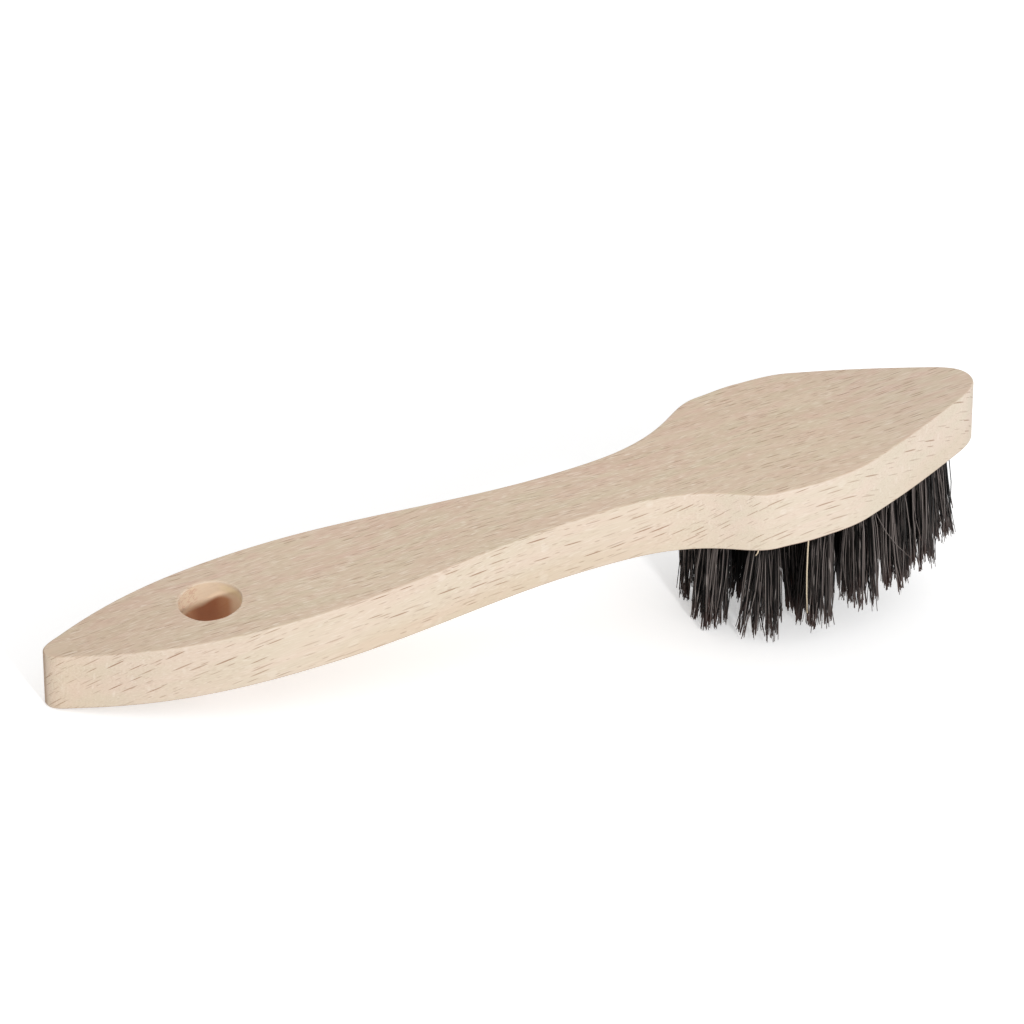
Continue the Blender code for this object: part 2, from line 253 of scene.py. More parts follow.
# How strongly a pattern shows: one level, or one on the sides and one on the flat faces (by
# face), or one on the handle and one on the head (by part)
PINK_BY_FACE = (0.5, 1)
SANDY_LEVEL = 0.7
BLUSH_LEVEL = 0.38
FINE_BY_FACE = (0.1, 0.17)
PALE_BY_FACE = (0.4, 1)
PALE_BY_PART = (0.42, 0.32)
LONG_DASH_BY_PART = (0.8, 0.7)
TOP_DASH_BY_PART = (0.6, 0.68)
SPECKLE_LEVEL = 0.16
LOW_SANDY_LEVEL = 0.35
UNDER_SHADE_BY_PART = (0.3, 0.75)
NOSE_SHADE_LEVEL = 0.55
WALL_LEVEL = 0.9

# Wood's relief, its roughness between the fine streaks and on them, and its specular level
FINE_RELIEF_SHARE = 0.5
BUMP_STRENGTH = 0.25
BUMP_DISTANCE = 0.04 * MM
WOOD_ROUGHNESS = (0.52, 0.66)
WOOD_SPECULAR = 0.3

# Where a change of the wood starts and where it is full, in mm of the level frame, followed by
# its strengths at both where these aren't 0 and 1. The normals' limits have no unit
FLAT_NORMAL_Z = (0.7, 0.97)
END_NORMAL_X = (0.35, 0.9)
HEAD_X = (118, 150)
PINK_Y = (-7, 5, 0.55, 1.15)
SHORT_DASH_X = (148, 170, 0.5, 0.15)
SANDY_Z = (-8.5, -12.5)
LOW_Z = (-6.5, -10)
LOW_FROM_X = (42, 62)
LOW_TO_X = (150, 80)
LOW_TIP_X = (163, 175, 0, 0.5)
HANDLE_END_X = (60, 8)
NOSE_X = (14, 2)
TIP_X = (155, 178)

# The same for the painted shade lines: one at a height over the underside's edge, stronger at the
# handle's end, and one across that end, by the distance in a direction that is turned from X, and by Y
UNDER_SHADE_HEIGHT = (0.4, 0.15)
UNDER_SHADE_END_X = (16, 8, 0, 0.2)
NOSE_SHADE_TURN = math.radians(26.5)
NOSE_SHADE_DISTANCE = (0.5, -0.05)
NOSE_SHADE_Y = (2.2, 1.0)

# The same for the hanging hole's wall: past the hole's radius, by the height, and by X from the
# hole's axis. Its bands stand higher towards the head
WALL_MARGIN = (0.7, 0.35)
WALL_TOP_Z = (0, -0.5, 0.3, 1)
BOUNCE_LIGHT_X = (3.2, 5.2)
BOUNCE_LIGHT_Z = (-0.3, -1.2)
TORN_X = (0.5, -1, 0.1, 0.7)
BAND_RISE_X = (0.3, 4.6, 0, 2)
PAINTED_LIGHT_Z = (-3.7, -4.7)
DEEP_AND_SHADE_Z = (-4.7, -5.9)
DEEP_AND_SHADE_X = (5.95, 4.9)
SHADED_REAR_X = (0.5, -2.5)
SHADED_FRONT_X = (2.8, 5, 0, 0.9)

# Hair's colours, where they start and are full, by a hair's tone, by its reach or by the reach
# between a point and the hair's glint, and its roughness and specular level. The grey is partly
# painted sheen, the shine is a painted highlight and the black near the roots is painted shade
HAIR_BLACK = (0.0045, 0.004, 0.0037)
HAIR_GREY_AND_SHEEN = (0.195, 0.166, 0.155)
HAIR_SHINE = (0.36, 0.32, 0.30)
HAIR_TIP_BROWN = (0.105, 0.055, 0.045)
HAIR_FAIR = (0.72, 0.60, 0.44)
GREY_AND_SHEEN_TONE = (0.45, 1)
GLINT_TONE = (0.2, 0.6)
GLINT_AWAY = (0.05, 0.015)
GLINT_LEVEL = 0.75
ROOT_SHADE_REACH = (0.55, 0.34, 0, 0.5)
BROWN_TIP_REACH = (0.86, 1, 0, 0.6)
HAIR_ROUGHNESS = 0.38
HAIR_SPECULAR = 0.09

# Anchor wire: its greys, its roughness on both, and the size of its drawing lines
WIRE_GREY = (0.52, 0.52, 0.53)
WIRE_BRIGHT = (0.62, 0.62, 0.63)
WIRE_ROUGHNESS = (0.28, 0.42)
WIRE_LINES = (0.02 * MM, 4 * MM, 0.02 * MM)


def rest_pose():
    """The brush's level axes in the world, one a row, and the place of its start along them.

    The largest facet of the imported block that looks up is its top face, and its normal is the
    level frame's Z. The start is the lowest x along the block and the top face's height.
    """
    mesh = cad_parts["brush_block"].data
    mesh.calc_loop_triangles()
    points = np.empty(3 * len(mesh.vertices))
    mesh.vertices.foreach_get("co", points)
    points = points.reshape(-1, 3)
    corners = np.empty(3 * len(mesh.loop_triangles), int)
    mesh.loop_triangles.foreach_get("vertices", corners)
    a, b, c = points[corners.reshape(-1, 3)].transpose(1, 0, 2)
    across = np.cross(b - a, c - a)
    up = across[np.argmax(across[:, 2])]
    up = up / np.linalg.norm(up)
    axes = np.array([(up[2], 0, -up[0]), (0, 1, 0), up])
    level = points @ axes.T
    return axes, np.array([level[:, 0].min(), 0, level[:, 2].max()])


AXES, START = rest_pose()
LEVEL = Matrix.Translation(Vector(START @ AXES)) @ Matrix(AXES.T.tolist()).to_4x4()


def to_world(points):
    """Points of the brush's level frame, laid into the resting pose."""
    return (points + START) @ AXES


def to_level(points):
    """Points of the world, in the brush's level frame."""
    return points @ AXES.T - START


# Meshes


def grid_faces(rows, columns, closed=False):
    """Four corners of each face of a grid of points stored row by row."""
    around = columns if closed else columns - 1
    i, j = np.meshgrid(np.arange(rows - 1), np.arange(around), indexing="ij")
    after = (j + 1) % columns
    low, high = i * columns, (i + 1) * columns
    return np.stack([low + j, low + after, high + after, high + j], -1).reshape(-1, 4)


def mesh_from(name, points, faces):
    """A mesh from an array of points and an array of faces that all have as many corners."""
    mesh = bpy.data.meshes.new(name)
    mesh.vertices.add(len(points))
    mesh.vertices.foreach_set("co", np.ascontiguousarray(points, np.float32).ravel())
    mesh.loops.add(faces.size)
    mesh.loops.foreach_set("vertex_index", np.ascontiguousarray(faces, np.int32).ravel())
    mesh.polygons.add(len(faces))
    starts = np.arange(0, faces.size, faces.shape[1], dtype=np.int32)
    mesh.polygons.foreach_set("loop_start", starts)
    mesh.update(calc_edges=True)
    mesh.validate()
    return mesh


def piece_of(name, mesh):
    """An object in the scene that shows a mesh."""
    obj = bpy.data.objects.new(name, mesh)
    bpy.context.scene.collection.objects.link(obj)
    return obj


def close_seams(mesh):
    """Merges the points of poles and seams that coincide, and turns the faces outwards."""
    shape = bmesh.new()
    shape.from_mesh(mesh)
    bmesh.ops.remove_doubles(shape, verts=shape.verts, dist=WELD_DISTANCE)
    bmesh.ops.dissolve_degenerate(shape, edges=shape.edges, dist=WELD_DISTANCE)
    bmesh.ops.recalc_face_normals(shape, faces=shape.faces)
    shape.to_mesh(mesh)
    shape.free()
    return mesh


def finished(obj):
    """The object with its modifiers applied."""
    depsgraph = bpy.context.evaluated_depsgraph_get()
    mesh = bpy.data.meshes.new_from_object(obj.evaluated_get(depsgraph))
    obj.modifiers.clear()
    obj.data = mesh
    return obj


# Block


def half_outline():
    """Points and outward normals along one side of the block, from the handle's end to the tip.

    Each stretch is a cubic curve: (1-t)^3 A + 3 (1-t)^2 t B + 3 (1-t) t^2 C + t^3 D, whose inner
    points B and C lie along the two stations' headings, at a share of the distance between them.
    """
    start = np.zeros(2)
    heading = math.radians(90)
    points, normals = [], []
    for length, width, degrees in STATIONS:
        arrive = math.radians(degrees)
        end = np.array([start[0] + length, width / 2])
        pull = PULL_SHARE * np.linalg.norm(end - start)
        b = start + pull * np.array([math.cos(heading), math.sin(heading)])
        c = end - pull * np.array([math.cos(arrive), math.sin(arrive)])
        t = np.linspace(0, 1, STATION_STEPS + 1)[:, None]
        curve = (1 - t) ** 3 * start + 3 * (1 - t) ** 2 * t * b + 3 * (1 - t) * t**2 * c + t**3 * end
        along = 3 * (1 - t) ** 2 * (b - start) + 6 * (1 - t) * t * (c - b) + 3 * t**2 * (end - c)
        along /= np.linalg.norm(along, axis=1, keepdims=True)
        first = 0 if not points else 1
        points.append(curve[first:])
        normals.append(np.stack([-along[:, 1], along[:, 0]], 1)[first:])
        start, heading = end, arrive
    return np.concatenate(points), np.concatenate(normals)


def edge_profile():
    """Down the board's edge: distance in, height, and share of the thickness to go down by.

    A quarter circle at each edge, a straight side between them, and one more point on each face
    a little further in, where the rounding has died away.
    """
    turn = np.linspace(0, math.pi / 2, EDGE_STEPS + 1)
    inset = EDGE_RADIUS * (1 - np.sin(turn))
    drop = EDGE_RADIUS * (1 - np.cos(turn))
    upper = [(EDGE_RADIUS + EDGE_BORDER, 0, 0)] + [(d, -z, 0) for d, z in zip(inset, drop)]
    side = [(0, 0, k / SIDE_STEPS) for k in range(1, SIDE_STEPS)]
    lower = [(d, -z, 1) for d, z, _ in reversed(upper)]
    return np.array(upper + side + lower)


def block_surface():
    """The block before drilling: the edge profile carried along the outline on both sides.

    A section runs down the near side's profile, straight across the underside, up the far
    side's and straight across the top. The two sides meet at the handle's end and at the tip.
    The edge's radius varies along the outline with the sum of three slow sine waves. Where the
    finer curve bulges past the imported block's box, by hundredths of a millimetre, it is held back.
    """
    outline, normals = half_outline()
    inset, height, share = edge_profile().T
    reach = np.cumsum(np.linalg.norm(np.diff(outline, axis=0, prepend=outline[:1]), axis=1))
    waves = [np.sin(reach / wave + phase) for phase, wave in enumerate(EDGE_WAVES)]
    softness = 1 + EDGE_UNEVENNESS_SHARE * np.mean(waves, axis=0)
    down = np.interp(outline[:, 0], [SLOPE_START, SLOPE_END], [0, 1])
    thickness = HANDLE_THICKNESS + HEAD_STEP * down
    flat = outline[:, None] - normals[:, None] * (inset * softness[:, None])[..., None]
    drawn = height - share * thickness[:, None]
    far = np.concatenate([flat, drawn[..., None]], -1)
    far[[0, -1], :, 1] = 0
    near = far * np.array([1, -1, 1])
    across = (np.arange(1, TOP_STEPS) / TOP_STEPS)[None, :, None]
    underside = near[:, -1:] * (1 - across) + far[:, -1:] * across
    top = far[:, :1] * (1 - across) + near[:, :1] * across
    sections = np.concatenate([near, underside, far[:, ::-1], top], 1)
    rows, columns = sections.shape[:2]
    faces = grid_faces(rows, columns, closed=True)
    points = np.clip(to_world(sections.reshape(-1, 3)), *np.array(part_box("brush_block")))
    return close_seams(mesh_from("brush_block_fine", points, faces))


def cutter_of(name, rings, where):
    """A closed cutter through rings of points, an array (ring, point, 3), moved to a place."""
    faces = grid_faces(*rings.shape[:2], closed=True)
    points = to_world(rings.reshape(-1, 3) + where)
    cutter = piece_of(name, close_seams(mesh_from(name, points, faces)))
    cutter.hide_render = True
    cutter.hide_viewport = True
    return cutter


def hole_rings():
    """Rings down the hanging hole: x = r cos a, y = r sin a.

    Both faces' rims flare by a quarter circle, which is wider on the far side than on the near
    one. The bore is worn a little oval, o cos (2a - b), and uneven, u (sin 5a + sin (8a + 1)) / 2.
    """
    a = np.arange(HOLE_SIDES) * 2 * math.pi / HOLE_SIDES
    radius = HOLE_RADIUS + HOLE_OVAL * np.cos(2 * a - HOLE_OVAL_TURN)
    radius = radius + HOLE_UNEVENNESS * (np.sin(5 * a) + np.sin(8 * a + 1)) / 2
    rim = HOLE_NEAR_RIM + (HOLE_FAR_RIM - HOLE_NEAR_RIM) * (1 + np.sin(a)) / 2
    turn = np.linspace(0, math.pi / 2, HOLE_RIM_STEPS + 1)[:, None]
    flare = radius + rim * (1 - np.sin(turn))
    drop = -rim * (1 - np.cos(turn))
    upper_r = np.concatenate([np.zeros((1, HOLE_SIDES)), flare[:1], flare])
    upper_z = np.concatenate([np.full((2, HOLE_SIDES), CUT_OVERRUN), drop])
    r = np.concatenate([upper_r, upper_r[::-1]])
    z = np.concatenate([upper_z, -HANDLE_THICKNESS - upper_z[::-1]])
    return np.stack([r * np.cos(a), r * np.sin(a), z], -1)


def socket_rings():
    """Rings up a blind socket, with the drill's point."""
    point = SOCKET_RADIUS * math.tan(DRILL_POINT)
    r = np.array([0, SOCKET_RADIUS, SOCKET_RADIUS, 0])[:, None]
    z = np.array([-CUT_OVERRUN, -CUT_OVERRUN, SOCKET_DEPTH, SOCKET_DEPTH + point])[:, None]
    a = np.arange(SOCKET_SIDES) * 2 * math.pi / SOCKET_SIDES
    return np.stack([r * np.cos(a), r * np.sin(a), z + 0 * a], -1)


def tuft_centres():
    """Where each packed tuft stands on the underside: the middle of what lies well inside its socket."""
    centres = {}
    for name, node in sorted(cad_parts.items()):
        if name.startswith("bristle_tuft"):
            points = np.empty(3 * len(node.data.vertices))
            node.data.vertices.foreach_get("co", points)
            level = to_level(points.reshape(-1, 3))
            seated = level[level[:, 2] > -MOUTH_DEPTH + SEATED_DEPTH]
            centres[name] = (seated[:, :2].min(0) + seated[:, :2].max(0)) / 2
    return centres


def make_block(centres):
    """The block with its hanging hole and its sockets drilled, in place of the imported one."""
    block = piece_of("brush_block_fine", block_surface())
    cutters = [cutter_of("hole_drill", hole_rings(), HOLE_CENTRE)]
    for number, (x, y) in enumerate(centres.values(), 1):
        mouth = (x, y, -MOUTH_DEPTH)
        cutters.append(cutter_of(f"socket_drill_{number:02d}", socket_rings(), mouth))
    for cutter in cutters:
        cut = block.modifiers.new(cutter.name, "BOOLEAN")
        cut.operation = "DIFFERENCE"
        cut.solver = "EXACT"
        cut.object = cutter
    finished(block)
    for cutter in cutters:
        bpy.data.objects.remove(cutter)
    block.data.shade_smooth()
    block.data.set_sharp_from_angle(angle=SHARP_ANGLE)
    weighted = block.modifiers.new("flat_faces_stay_flat", "WEIGHTED_NORMAL")
    weighted.keep_sharp = True
    finished(block)
    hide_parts("brush_block")
    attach(block, "root")
    return block


# Hair


def packed_roots():
    """Where each hair's right-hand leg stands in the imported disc, spread by the golden angle.

    Left-hand places are folded over to the right, and all keep clear of the anchor.
    """
    count = np.arange(HAIRS) + 0.5
    radius = PACK_RADIUS * np.sqrt(count / HAIRS)
    angle = count * math.pi * (3 - math.sqrt(5))
    x = np.abs(radius * np.cos(angle))
    x = FOLD_CLEARANCE + x * (PACK_RADIUS - FOLD_CLEARANCE) / PACK_RADIUS
    return np.stack([x, radius * np.sin(angle)], 1)


def clumped(chance, tips, lean, fan):
    """Tips drawn part of the way to the nearest of a few places where hairs stick together."""
    angle = chance.random(CLUMPS) * 2 * math.pi
    reach = fan * np.sqrt(chance.random(CLUMPS))
    clumps = np.stack([reach * np.cos(angle), reach * np.sin(angle)], 1) + lean
    away = np.linalg.norm(tips[:, None] - clumps[None], axis=-1)
    return tips + CLUMP_PULL * (clumps[np.argmin(away, axis=1)] - tips)


def free_lengths(chance, stations):
    """How far each hair hangs below the mouth: trimmed unevenly, some short, all off the floor.

    The floor lies (x + start) * tangent of the tilt + height of the top - depth of the mouth
    below the mouth at station x. The clearance grows by chance, at most by its spread's factor.
    """
    lengths = HAIR_LENGTH + chance.normal(0, TRIM_UNEVENNESS, HAIRS)
    short = chance.random(HAIRS) < SHORT_SHARE
    lengths -= short * SHORTEST * chance.random(HAIRS) ** SHORT_POWER
    floor = (stations + START[0]) * AXES[0, 2] / AXES[2, 2] + START[2] - MOUTH_DEPTH
    clearance = FLOOR_CLEARANCE * (1 + FLOOR_CLEARANCE_SPREAD * chance.random(HAIRS))
    return np.minimum(lengths, floor - clearance)


def hair_paths(chance, centre, lean, fan, stray):
    """Points down each hair, from one tip over the fold to the other: an array (hair, point, 3).

    Inside the socket a hair runs straight up and over the anchor in half an ellipse. Below the
    mouth it fans out: place = root + (tip - root) (e t + (1 - e) t^2) + 4 bow t (1 - t), with t
    from 0 at the mouth to 1 at the tip. A stray hair is one leg with a root and tip of its own.
    """
    right_roots = packed_roots()
    turn = np.radians(FOLD_DEGREES)
    t = np.linspace(0, 1, FREE_STEPS + 1)[None, :, None]
    halves = []
    for side in (-1, 1):
        root = right_roots * (side, 1)
        scatter = chance.normal(0, SCATTER, (HAIRS, 2))
        scatter[chance.random(HAIRS) < WILD_SHARE] *= WILD_FACTOR
        scatter = np.clip(scatter, -SCATTER_LIMIT, SCATTER_LIMIT)
        tip = clumped(chance, root * fan / PACK_RADIUS + lean + scatter, lean, fan)
        length = free_lengths(chance, centre[0] + tip[:, 0])
        if stray and side < 0:
            root[0], tip[0] = np.array(stray[:2]) * MM
            length[0] = stray[2] * MM
        over_x = root[:, None, 0] * np.cos(turn)
        over_y = root[:, None, 1] + 0 * turn
        rise = np.abs(root[:, None, 0]) / PACK_RADIUS * FOLD_RISE * np.sin(turn)
        over_z = FOLD_HEIGHT - FOLD_RISE + rise
        bow = chance.normal(0, BOW, (HAIRS, 2))
        place = root[:, None] + (tip - root)[:, None] * (EARLY_SHARE * t + (1 - EARLY_SHARE) * t**2)
        place = place + 4 * bow[:, None] * t * (1 - t)
        drop = -length[:, None, None] * t
        over = np.stack([over_x, over_y, over_z], -1)
        halves.append(np.concatenate([over, np.concatenate([place, drop], -1)], 1))
    left, right = halves
    path = np.concatenate([left[:, ::-1], right[:, 1:]], 1)
    return to_world(path + np.array([*centre, -MOUTH_DEPTH]))


def hair_mesh(name, paths, widths, tones, glints):
    """Three-sided tubes along the paths, thinner at both tips and closed there.

    Each ring is point + r (u cos a + v sin a), where u and v are square to the path. Tones and
    painted glints are given for each hair's two legs.
    """
    hairs, steps = paths.shape[:2]
    along = np.gradient(paths, axis=1)
    along /= np.linalg.norm(along, axis=-1, keepdims=True)
    u = np.cross(along, (0.0, 1.0, 0.0))
    u /= np.linalg.norm(u, axis=-1, keepdims=True)
    v = np.cross(along, u)
    reach = np.abs(np.linspace(-1, 1, steps))
    taper = np.interp(reach, [TAPER_START, 1], [1, TIP_WIDTH_SHARE])
    radius = (widths[:, None] / 2 * taper)[..., None, None]
    turn = np.arange(HAIR_SIDES) * 2 * math.pi / HAIR_SIDES
    ring = u[..., None, :] * np.cos(turn)[:, None] + v[..., None, :] * np.sin(turn)[:, None]
    points = (paths[..., None, :] + radius * ring).reshape(-1, 3)
    tube = grid_faces(steps, HAIR_SIDES, closed=True)
    tube = np.concatenate([tube[:, :3], tube[:, [0, 2, 3]]])
    ends = [[0, 2, 1], [(steps - 1) * HAIR_SIDES + k for k in range(HAIR_SIDES)]]
    one = np.concatenate([tube, ends])
    each = steps * HAIR_SIDES
    faces = (one[None] + np.arange(hairs)[:, None, None] * each).reshape(-1, 3)
    mesh = mesh_from(name, points, faces[:, ::-1])
    legs = [steps // 2 * HAIR_SIDES, (steps - steps // 2) * HAIR_SIDES]
    for label, values in (
        ("hair_tone", np.repeat(tones, legs, axis=1).ravel()),
        ("hair_glint", np.repeat(glints, legs, axis=1).ravel()),
        ("hair_reach", np.tile(np.repeat(reach, HAIR_SIDES), hairs)),
    ):
        attribute = mesh.attributes.new(label, "FLOAT", "POINT")
        attribute.data.foreach_set("value", values.astype(np.float32))
    mesh.shade_smooth()
    return mesh


def make_tufts(centres):
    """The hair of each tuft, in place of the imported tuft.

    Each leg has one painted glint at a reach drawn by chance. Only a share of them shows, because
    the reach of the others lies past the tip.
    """
    tufts = []
    for number, (node, centre) in enumerate(centres.items(), 1):
        chance = np.random.default_rng(number)
        lean_x, lean_y, fan, tone = TUFT_SHAPES[number - 1]
        stray = STRAY_HAIRS.get(number)
        paths = hair_paths(chance, centre, np.array([lean_x, lean_y]) * MM, fan * MM, stray)
        widths = HAIR_WIDTH + HAIR_WIDTH_SPREAD * chance.standard_normal(HAIRS)
        tones = chance.random((HAIRS, 2)) * tone
        glints = chance.random((HAIRS, 2)) / GLINT_SHARE
        if stray:
            widths[0], tones[0, 0] = stray[3] * MM, stray[4]
        name = f"hair_tuft_{number:02d}"
        tuft = piece_of(name, hair_mesh(name, paths, widths, tones, glints))
        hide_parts(node)
        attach(tuft, "root")
        tufts.append(tuft)
    return tufts


# Shader nodes


def add(tree, kind, inputs=None, **settings):
    """A node with its settings made, and its inputs given as values or linked from sockets."""
    node = tree.nodes.new(kind)
    for name, value in settings.items():
        setattr(node, name, value)
    for name, value in (inputs or {}).items():
        if isinstance(value, bpy.types.NodeSocket):
            tree.links.new(value, node.inputs[name])
        else:
            node.inputs[name].default_value = value
    return node


def calc(tree, operation, *values):
    """The outcome of one Math node."""
    return add(tree, "ShaderNodeMath", dict(enumerate(values)), operation=operation).outputs[0]


def product(tree, *values):
    """The product of two or more values."""
    outcome = values[0]
    for value in values[1:]:
        outcome = calc(tree, "MULTIPLY", outcome, value)
    return outcome


def vector(tree, operation, *values):
    """The outcome of one Vector Math node that gives a vector."""
    return add(tree, "ShaderNodeVectorMath", dict(enumerate(values)), operation=operation).outputs[0]


def parts(tree, value):
    """The X, Y and Z of a vector."""
    return add(tree, "ShaderNodeSeparateXYZ", {0: value}).outputs


def length_of(tree, value):
    """The length of a vector."""
    return add(tree, "ShaderNodeVectorMath", {0: value}, operation="LENGTH").outputs["Value"]


def between(tree, value, low, high, to_low=0.0, to_high=1.0):
    """A smooth step from one value to another while the input runs from low to high."""
    inputs = {"Value": value, "From Min": low, "From Max": high, "To Min": to_low, "To Max": to_high}
    node = add(tree, "ShaderNodeMapRange", inputs, interpolation_type="SMOOTHSTEP")
    return node.outputs["Result"]


def graded(tree, share, first, second):
    """A value that passes smoothly from one to another while a share runs from 0 to 1."""
    return between(tree, share, 0, 1, first, second)


def tint(tree, factor, base, colour, blend="MIX"):
    """One colour mixed over another by a factor."""
    node = add(tree, "ShaderNodeMix", data_type="RGBA", blend_type=blend)
    for index, value in ((0, factor), (6, base), (7, colour)):
        if isinstance(value, bpy.types.NodeSocket):
            tree.links.new(value, node.inputs[index])
        else:
            node.inputs[index].default_value = value if index == 0 else (*value, 1)
    return node.outputs[2]


def turned(tree, coordinates, rotation, **more):
    """Coordinates turned, and moved or scaled too when asked."""
    inputs = {"Vector": coordinates, "Rotation": rotation, **more}
    return add(tree, "ShaderNodeMapping", inputs).outputs[0]


def group_tree(name, inputs, output):
    """An empty node group with named inputs and one output, and its two end nodes' sockets."""
    tree = bpy.data.node_groups.new(name, "ShaderNodeTree")
    for label, kind, value in inputs:
        socket = tree.interface.new_socket(label, in_out="INPUT", socket_type=kind)
        if value is not None:
            socket.default_value = value
    tree.interface.new_socket(output, in_out="OUTPUT", socket_type="NodeSocketFloat")
    return tree, add(tree, "NodeGroupInput").outputs, add(tree, "NodeGroupOutput").inputs


def fleck_group():
    """Lens-shaped flecks, at most one in a cell of a cell pattern, and only a share of them shown.

    Size gives a full fleck's half lengths. Each has its own size and depth of colour.
    """
    tree, given, out = group_tree(
        "ray_flecks",
        [
            ("Vector", "NodeSocketVector", None),
            ("Cell", "NodeSocketVector", (5.0, 1.5, 3.0)),
            ("Size", "NodeSocketVector", (2.0, 0.1, 1.5)),
            ("Share", "NodeSocketFloat", 0.5),
        ],
        "Mask",
    )
    scaled = vector(tree, "DIVIDE", given["Vector"], given["Cell"])
    inputs = {"Vector": scaled, "Scale": 1.0, "Randomness": FLECK_RANDOMNESS}
    cells = add(tree, "ShaderNodeTexVoronoi", inputs).outputs
    offset = vector(tree, "SUBTRACT", scaled, cells["Position"])
    offset = vector(tree, "MULTIPLY", offset, given["Cell"])
    away = length_of(tree, vector(tree, "DIVIDE", offset, given["Size"]))
    chance = add(tree, "ShaderNodeSeparateColor", {"Color": cells["Color"]}).outputs
    reach = graded(tree, chance["Blue"], *FLECK_SIZES)
    lens = between(tree, away, reach, product(tree, reach, FLECK_CORE_SHARE))
    shown = calc(tree, "LESS_THAN", chance["Red"], given["Share"])
    depth = graded(tree, chance["Green"], *FLECK_DEPTHS)
    tree.links.new(product(tree, lens, shown, depth), out["Mask"])
    return tree


def streak_group():
    """Streaks along the grain: noise on coordinates that are stretched by the streaks' size."""
    tree, given, out = group_tree(
        "grain_streaks",
        [
            ("Vector", "NodeSocketVector", None),
            ("Size", "NodeSocketVector", (30.0, 2.0, 2.0)),
            ("Detail", "NodeSocketFloat", 2.0),
            ("Start", "NodeSocketFloat", 0.3),
            ("Full", "NodeSocketFloat", 0.7),
        ],
        "Value",
    )
    scaled = vector(tree, "DIVIDE", given["Vector"], given["Size"])
    inputs = {"Vector": scaled, "Scale": 1.0, "Detail": given["Detail"]}
    inputs["Roughness"] = STREAK_ROUGHNESS
    noise = add(tree, "ShaderNodeTexNoise", inputs).outputs["Fac"]
    tree.links.new(between(tree, noise, given["Start"], given["Full"]), out["Value"])
    return tree


def use(tree, group, **inputs):
    """The outcome of a node group."""
    return add(tree, "ShaderNodeGroup", inputs, node_tree=group).outputs[0]


def new_material(name):
    """A material, its node tree and its shader."""
    material = bpy.data.materials.new(name)
    material.use_nodes = True
    return material, material.node_tree, material.node_tree.nodes["Principled BSDF"]


def wood_space(tree):
    """Where a point lies in the wood, and which part and face of the board it belongs to.

    Places are in the level frame's millimetres, so that the patterns run through the wood. The
    grain's coordinates are tilted and wander with slow noise, and the rays' also lean sideways.
    Flat, side, end and head are shares from 0 to 1.
    """
    coords = add(tree, "ShaderNodeTexCoord").outputs
    level = (0, -math.atan2(AXES[2, 0], AXES[2, 2]), 0)
    board = turned(tree, coords["Object"], level, Location=tuple(-START / MM), Scale=(1 / MM,) * 3)
    place = parts(tree, board)
    noise = add(tree, "ShaderNodeTexNoise", {"Vector": board, "Scale": WANDER_SCALE, "Detail": 1.0})
    wander = vector(tree, "SUBTRACT", noise.outputs["Color"], NOISE_MIDDLE)
    wander = vector(tree, "MULTIPLY", wander, WANDER)
    grain = turned(tree, vector(tree, "ADD", board, wander), (0, GRAIN_TILT, 0))
    facing = parts(tree, turned(tree, coords["Normal"], level))
    flat = between(tree, calc(tree, "ABSOLUTE", facing["Z"]), *FLAT_NORMAL_Z)
    return SimpleNamespace(
        board=board,
        x=place["X"],
        y=place["Y"],
        z=place["Z"],
        grain=grain,
        rays=turned(tree, grain, (-RAY_LEAN, 0, 0)),
        flat=flat,
        side=calc(tree, "SUBTRACT", 1.0, flat),
        end=between(tree, calc(tree, "ABSOLUTE", facing["X"]), *END_NORMAL_X),
        head=between(tree, place["X"], *HEAD_X),
    )


def ground_colour(tree, wood, streaks):
    """Pale wood in pink and sandy bands, with short rosy patches on the flat faces.

    The pink is stronger on the far half than on the near one.
    """
    pink = product(tree, between(tree, wood.y, *PINK_Y), graded(tree, wood.flat, *PINK_BY_FACE))
    bands = use(tree, streaks, Vector=wood.grain, **BANDS)
    colour = tint(tree, product(tree, bands, pink), BEECH_PALE, BEECH_PINK)
    sandy = use(tree, streaks, Vector=wood.grain, **SANDY_BANDS)
    colour = tint(tree, product(tree, sandy, SANDY_LEVEL), colour, BEECH_SANDY)
    blush = use(tree, streaks, Vector=wood.grain, **BLUSH_PATCHES)
    return tint(tree, product(tree, blush, pink, wood.flat, BLUSH_LEVEL), colour, BEECH_BLUSH)


